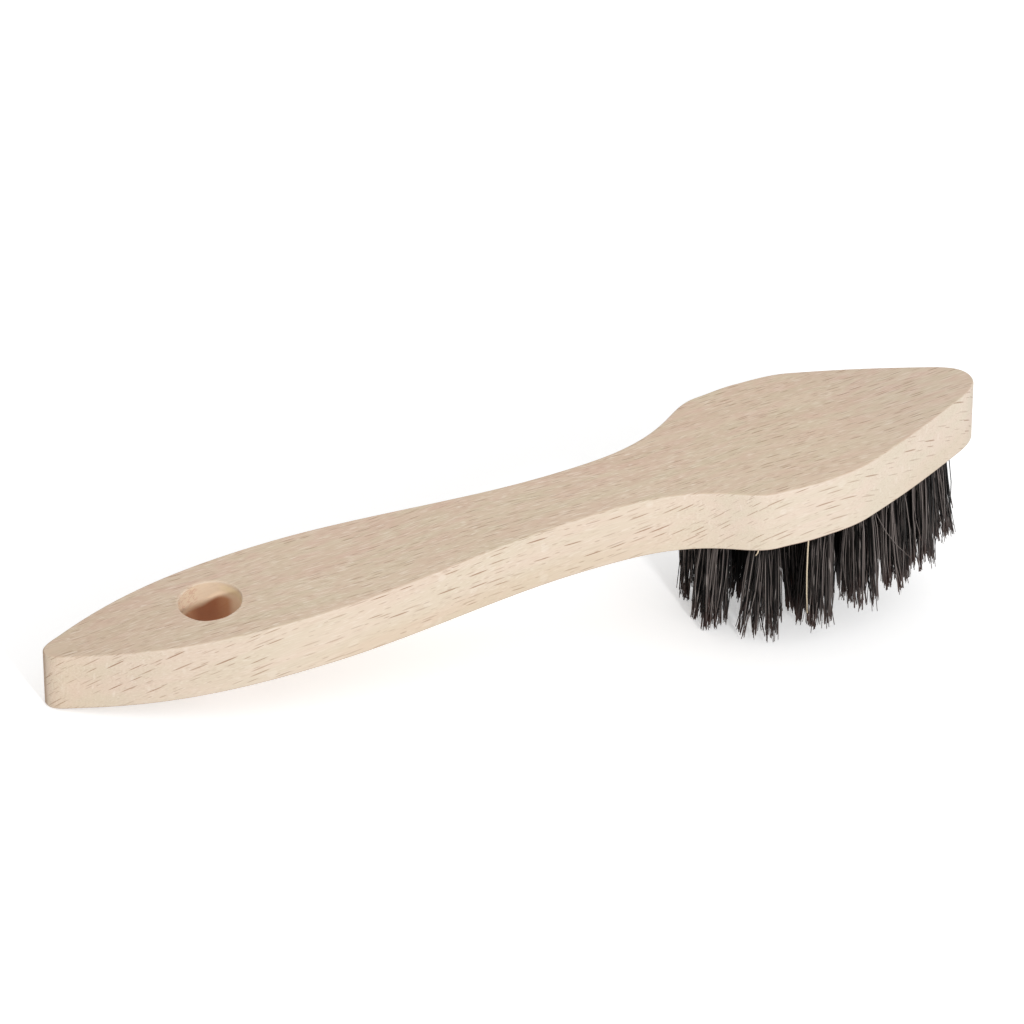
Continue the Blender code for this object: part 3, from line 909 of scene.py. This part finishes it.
def marked(tree, wood, streaks, colour):
    """The colour with fine marks, and two masks: the fine streaks and the deeper dashes.

    Fine streaks, pores and pale dashes show everywhere. Rays are thin sheets that hold the grain's
    direction and lean from upright, and the sides cut them into long and short dashes. The flat
    faces have finer dashes of their own, and the ends of the grain are speckled.
    """
    flecks = fleck_group()
    fine = use(tree, streaks, Vector=wood.grain, **FINE_STREAKS)
    pores = use(tree, streaks, Vector=wood.grain, **PORES)
    long_dash = use(tree, flecks, Vector=wood.rays, **LONG_DASHES)
    short_dash = use(tree, flecks, Vector=wood.rays, **SHORT_DASHES)
    top_dash = use(tree, flecks, Vector=wood.grain, **TOP_DASHES)
    pale_dash = use(tree, flecks, Vector=wood.grain, **PALE_DASHES)
    speckle = use(tree, streaks, Vector=wood.grain, **SPECKLES)
    pale = graded(tree, wood.head, *PALE_BY_PART)
    pale = product(tree, pale, graded(tree, wood.flat, *PALE_BY_FACE))
    long_level = graded(tree, wood.head, *LONG_DASH_BY_PART)
    short_level = between(tree, wood.x, *SHORT_DASH_X)
    top_level = graded(tree, wood.head, *TOP_DASH_BY_PART)
    for mask, mark in (
        (product(tree, fine, graded(tree, wood.flat, *FINE_BY_FACE)), DASH_AND_SHADE_BROWN),
        (product(tree, pores, pale), FLECK_PALE),
        (product(tree, long_dash, wood.side, long_level), DASH_AND_SHADE_BROWN),
        (product(tree, short_dash, wood.side, short_level), DASH_AND_SHADE_BROWN),
        (product(tree, top_dash, wood.flat, top_level), DASH_AND_SHADE_BROWN),
        (product(tree, pale_dash, pale), FLECK_PALE),
        (product(tree, speckle, wood.end, wood.side, SPECKLE_LEVEL), DASH_AND_SHADE_BROWN),
    ):
        colour = tint(tree, mask, colour, mark)
    return colour, fine, calc(tree, "MAXIMUM", long_dash, top_dash)


def toned(tree, wood, colour):
    """The colour with its slow changes over the board.

    The sides are cooler than the top, partly by the wood's own tone and partly as painted light where
    the lit sides wash out. Low down they are sandier, and browner from the waist on, less so towards
    the head, and again at the tip. The handle's end is darker, with warmer sides near its very end,
    and the tip's top is a little darker too, partly by the wood's own tone and partly as painted shade
    where less lamp light falls.
    """
    sandy = product(tree, between(tree, wood.z, *SANDY_Z), wood.side, LOW_SANDY_LEVEL)
    colour = tint(tree, sandy, colour, BEECH_SANDY)
    side_tone_and_light = tint(tree, wood.head, HANDLE_SIDE_TONE_AND_LIGHT_TINT, HEAD_SIDE_TONE_AND_LIGHT_TINT)
    waist = product(tree, between(tree, wood.x, *LOW_FROM_X), between(tree, wood.x, *LOW_TO_X))
    reach = calc(tree, "ADD", waist, between(tree, wood.x, *LOW_TIP_X))
    # Partly painted light on the sides, partly painted shade at the handle's end, the nose and the tip
    for mask, tone in (
        (wood.side, side_tone_and_light),
        (product(tree, between(tree, wood.z, *LOW_Z), wood.side, reach), LOW_TINT),
        (between(tree, wood.x, *HANDLE_END_X), HANDLE_END_TONE_AND_SHADE_TINT),
        (product(tree, between(tree, wood.x, *NOSE_X), wood.side), NOSE_TONE_AND_SHADE_TINT),
        (product(tree, between(tree, wood.x, *TIP_X), wood.flat), TIP_TONE_AND_SHADE_TINT),
    ):
        colour = tint(tree, mask, colour, tone, blend="MULTIPLY")
    return colour


def shade_lined(tree, wood, colour):
    """The colour with painted shade: a dark line along the sides' lower edge and one across the handle's
    end.

    The lower edge lies at the handle's thickness and sinks with the slope towards the head. The
    other line lies where x cos a - y sin a is near 0, which is one side of the rounded end.
    """
    slope = {"Value": wood.x, "From Min": SLOPE_START / MM, "From Max": SLOPE_END / MM}
    step = add(tree, "ShaderNodeMapRange", {**slope, "To Max": HEAD_STEP / MM}).outputs["Result"]
    heights = [height - HANDLE_THICKNESS / MM for height in UNDER_SHADE_HEIGHT]
    under_shade = between(tree, calc(tree, "ADD", wood.z, step), *heights)
    by_part = graded(tree, wood.head, *UNDER_SHADE_BY_PART)
    strength = calc(tree, "ADD", by_part, between(tree, wood.x, *UNDER_SHADE_END_X))
    colour = tint(tree, product(tree, under_shade, wood.side, strength), colour, SHADE_LINE_BROWN)
    # Painted shade down the handle's end, on the side of the rounding turned away from the light
    across = product(tree, wood.y, -math.sin(NOSE_SHADE_TURN))
    distance = calc(tree, "ADD", product(tree, wood.x, math.cos(NOSE_SHADE_TURN)), across)
    nose_shade = product(
        tree,
        between(tree, distance, *NOSE_SHADE_DISTANCE),
        between(tree, wood.y, *NOSE_SHADE_Y),
        wood.side,
        NOSE_SHADE_LEVEL,
    )
    return tint(tree, nose_shade, colour, DASH_AND_SHADE_BROWN)


def hole_walled(tree, wood, streaks, colour):
    """The colour with the hanging hole's wall, whose front is its side towards the head.

    It is light with torn spots, and olive at the front as painted bounce light. A bright band of
    painted light runs round it further down, and below the band it is deep brown, partly the drilled
    wall's own colour and partly painted shade, less so at the front and the rear.
    """
    offset = vector(tree, "SUBTRACT", wood.board, tuple(Vector(HOLE_CENTRE) / MM))
    from_axis = length_of(tree, vector(tree, "MULTIPLY", offset, (1, 1, 0)))
    x = parts(tree, offset)["X"]
    margin = [HOLE_RADIUS / MM + past for past in WALL_MARGIN]
    wall = product(tree, between(tree, from_axis, *margin), between(tree, wood.z, *WALL_TOP_Z))
    raised = calc(tree, "SUBTRACT", wood.z, between(tree, x, *BAND_RISE_X))
    aside = calc(tree, "ADD", between(tree, x, *SHADED_REAR_X), between(tree, x, *SHADED_FRONT_X))
    olive = product(tree, between(tree, x, *BOUNCE_LIGHT_X), between(tree, wood.z, *BOUNCE_LIGHT_Z))
    torn = use(tree, streaks, Vector=wood.grain, **TORN_SPOTS)
    deep = product(tree, between(tree, raised, *DEEP_AND_SHADE_Z), between(tree, x, *DEEP_AND_SHADE_X))
    shown = WALL_LIGHT
    # The olive and the bright band are painted light, and the deep brown is partly painted shade
    for mask, layer in (
        (olive, WALL_PAINTED_BOUNCE_LIGHT),
        (product(tree, torn, between(tree, x, *TORN_X)), WALL_TORN),
        (between(tree, raised, *PAINTED_LIGHT_Z), WALL_PAINTED_LIGHT),
        (deep, tint(tree, aside, WALL_DEEP_AND_SHADE, WALL_SHADED)),
    ):
        shown = tint(tree, mask, shown, layer)
    return tint(tree, product(tree, wall, WALL_LEVEL), colour, shown)


def beech_material(streaks):
    """Sanded beech, whose dashes lie a little below the surface and whose fine streaks stand out."""
    material, tree, shader = new_material("beech_sanded")
    wood = wood_space(tree)
    colour = ground_colour(tree, wood, streaks)
    colour, fine, dashes = marked(tree, wood, streaks, colour)
    colour = toned(tree, wood, colour)
    colour = shade_lined(tree, wood, colour)
    colour = hole_walled(tree, wood, streaks, colour)
    relief = calc(tree, "SUBTRACT", product(tree, fine, FINE_RELIEF_SHARE), dashes)
    inputs = {"Strength": BUMP_STRENGTH, "Distance": BUMP_DISTANCE, "Height": relief}
    bump = add(tree, "ShaderNodeBump", inputs)
    tree.links.new(bump.outputs[0], shader.inputs["Normal"])
    tree.links.new(colour, shader.inputs["Base Color"])
    tree.links.new(graded(tree, fine, *WOOD_ROUGHNESS), shader.inputs["Roughness"])
    shader.inputs["Specular IOR Level"].default_value = WOOD_SPECULAR
    return material


def hair_material():
    """Black hair in uneven tones and painted sheen, browner at the tips, with short painted glints,
    painted shade at the roots and the odd fair one.
    """
    material, tree, shader = new_material("black_hair")
    tone = add(tree, "ShaderNodeAttribute", attribute_name="hair_tone").outputs["Fac"]
    reach = add(tree, "ShaderNodeAttribute", attribute_name="hair_reach").outputs["Fac"]
    glint = add(tree, "ShaderNodeAttribute", attribute_name="hair_glint").outputs["Fac"]
    away = calc(tree, "ABSOLUTE", calc(tree, "SUBTRACT", reach, glint))
    shine = product(tree, between(tree, away, *GLINT_AWAY), between(tree, tone, *GLINT_TONE))
    colour = HAIR_BLACK
    # The grey is partly painted sheen, the shine a painted highlight, the black near the roots painted
    # shade
    for mask, layer in (
        (between(tree, tone, *GREY_AND_SHEEN_TONE), HAIR_GREY_AND_SHEEN),
        (product(tree, shine, GLINT_LEVEL), HAIR_SHINE),
        (between(tree, reach, *ROOT_SHADE_REACH), HAIR_BLACK),
        (between(tree, reach, *BROWN_TIP_REACH), HAIR_TIP_BROWN),
        (calc(tree, "GREATER_THAN", tone, FAIR_LIMIT), HAIR_FAIR),
    ):
        colour = tint(tree, mask, colour, layer)
    tree.links.new(colour, shader.inputs["Base Color"])
    shader.inputs["Roughness"].default_value = HAIR_ROUGHNESS
    shader.inputs["Specular IOR Level"].default_value = HAIR_SPECULAR
    return material


def steel_material(streaks):
    """Cut flat wire: grey steel with fine drawing lines along it."""
    material, tree, shader = new_material("anchor_wire")
    coords = add(tree, "ShaderNodeTexCoord").outputs["Object"]
    lines = use(tree, streaks, Vector=coords, Size=WIRE_LINES)
    tree.links.new(tint(tree, lines, WIRE_GREY, WIRE_BRIGHT), shader.inputs["Base Color"])
    tree.links.new(graded(tree, lines, *WIRE_ROUGHNESS), shader.inputs["Roughness"])
    shader.inputs["Metallic"].default_value = 1
    return material


# Stage


def shown_rays(tree):
    """1 for rays that come from the camera, or off or through a clear or polished surface."""
    path = add(tree, "ShaderNodeLightPath").outputs
    seen = calc(tree, "MAXIMUM", path["Is Camera Ray"], path["Is Glossy Ray"])
    return calc(tree, "MAXIMUM", seen, path["Is Transmission Ray"])


def make_floor():
    """A white sweep: it keeps the brush's shadow and is lifted to white where it is seen."""
    corners = np.array([(-1, -1, 0), (1, -1, 0), (1, 1, 0), (-1, 1, 0)]) * FLOOR_HALF
    floor = piece_of("floor", mesh_from("floor", corners, np.array([[0, 1, 2, 3]])))
    material, tree, shader = new_material("white_sweep")
    shader.inputs["Base Color"].default_value = (FLOOR_TONE, FLOOR_TONE, FLOOR_TONE, 1)
    shader.inputs["Roughness"].default_value = FLOOR_ROUGHNESS
    shader.inputs["Emission Color"].default_value = (1, 1, 1, 1)
    tree.links.new(product(tree, shown_rays(tree), FLOOR_LIFT), shader.inputs["Emission Strength"])
    floor.data.materials.append(material)


def make_surround():
    """An even white world, brighter where it is seen than where it lights."""
    world = bpy.data.worlds.new("surround")
    world.use_nodes = True
    bpy.context.scene.world = world
    tree = world.node_tree
    tree.nodes.clear()
    strength = graded(tree, shown_rays(tree), SKY_LEVEL, SKY_SEEN_LEVEL)
    surround = add(tree, "ShaderNodeBackground", {"Color": (1, 1, 1, 1), "Strength": strength})
    out = add(tree, "ShaderNodeOutputWorld")
    tree.links.new(surround.outputs[0], out.inputs["Surface"])


def make_key_lamp():
    """A round lamp whose energy gives an even level at the brush: level * pi^2 * distance^2."""
    lamp = bpy.data.lights.new("key_lamp", "AREA")
    lamp.shape = "DISK"
    lamp.size = KEY_SIZE
    lamp.energy = KEY_LEVEL * math.pi**2 * KEY_DISTANCE**2
    obj = bpy.data.objects.new("key_lamp", lamp)
    bpy.context.scene.collection.objects.link(obj)
    direction = LEVEL.to_3x3() @ KEY_DIRECTION.normalized()
    obj.location = direction * KEY_DISTANCE
    obj.rotation_euler = direction.to_track_quat("Z", "Y").to_euler()


def make_camera():
    """The photograph's camera, which sees the level frame turned, tipped, rolled and moved."""
    camera = bpy.data.cameras.new("camera")
    camera.lens = LENS_LENGTH
    camera.sensor_width = SENSOR_WIDTH
    camera.clip_end = CLIP_END
    obj = bpy.data.objects.new("camera", camera)
    bpy.context.scene.collection.objects.link(obj)
    turn = Matrix.Rotation(VIEW_TURN, 4, "Z")
    tilt = Matrix.Rotation(VIEW_TILT, 4, "X")
    roll = Matrix.Rotation(VIEW_ROLL, 4, "Z")
    view = Matrix.Translation(VIEW_OFFSET) @ roll @ tilt @ turn
    obj.matrix_world = LEVEL @ view.inverted()
    bpy.context.scene.camera = obj


def dress(obj, material):
    """Gives an object one material, in place of what it had."""
    obj.data.materials.clear()
    obj.data.materials.append(material)


centres = tuft_centres()
streaks = streak_group()
dress(make_block(centres), beech_material(streaks))
hair = hair_material()
for tuft in make_tufts(centres):
    dress(tuft, hair)
steel = steel_material(streaks)
for name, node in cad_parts.items():
    if name.startswith("anchor"):
        dress(node, steel)

make_floor()
make_surround()
make_key_lamp()
make_camera()
bpy.context.scene.view_settings.view_transform = "Standard"
